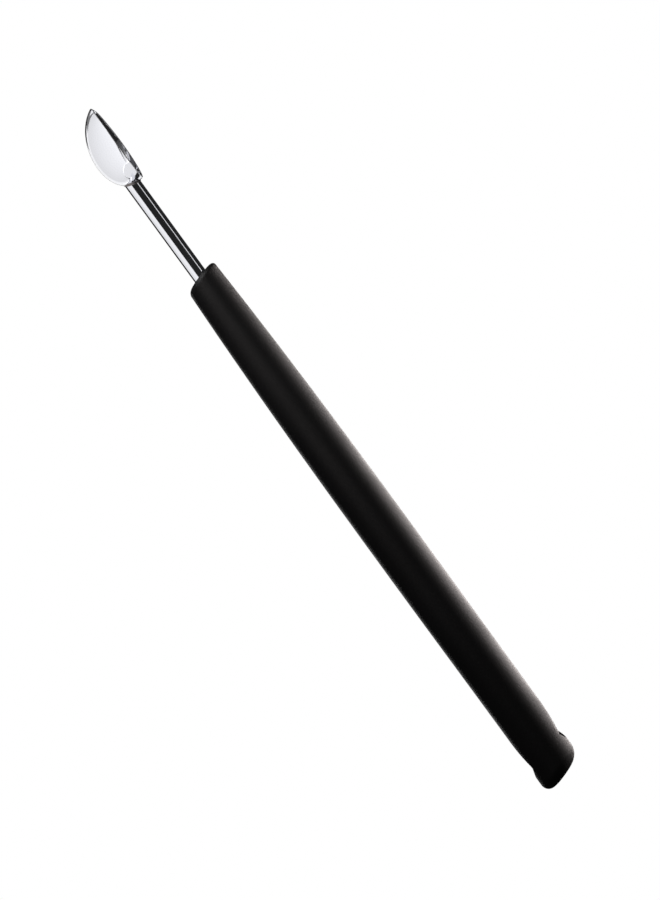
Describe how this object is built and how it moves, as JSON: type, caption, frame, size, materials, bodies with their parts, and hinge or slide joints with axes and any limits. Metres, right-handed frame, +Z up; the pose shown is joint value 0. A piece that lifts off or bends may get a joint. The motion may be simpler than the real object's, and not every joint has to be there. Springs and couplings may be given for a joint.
{
  "type": "clay shaper tool",
  "caption": "Hand tool with a polished steel scoop on a slim round rod, set in a long black oval handle with a dished hanging hole.",
  "frame": {"origin": "middle of the tool's bounding box, at its lowest level", "axes": "+X along the tool from the scoop's tip towards the handle's tail, +Z up out of the scoop's mouth, +Y across the tool"},
  "size_m": [0.204, 0.0204, 0.0123],
  "materials": {
    "polished_steel": "mirror-polished stainless steel",
    "weld_steel": "brushed filler, darkened by heat",
    "core_plastic": "hard moulding, not seen from outside",
    "black_grip": "matt black with a fine moulded grain"
  },
  "bodies": {
    "root": {"scoop_bowl": "polished_steel", "scoop_weld": "weld_steel", "shank_rod": "polished_steel", "handle_core": "core_plastic", "grip_skin": "black_grip"}
  },
  "joints": []
}
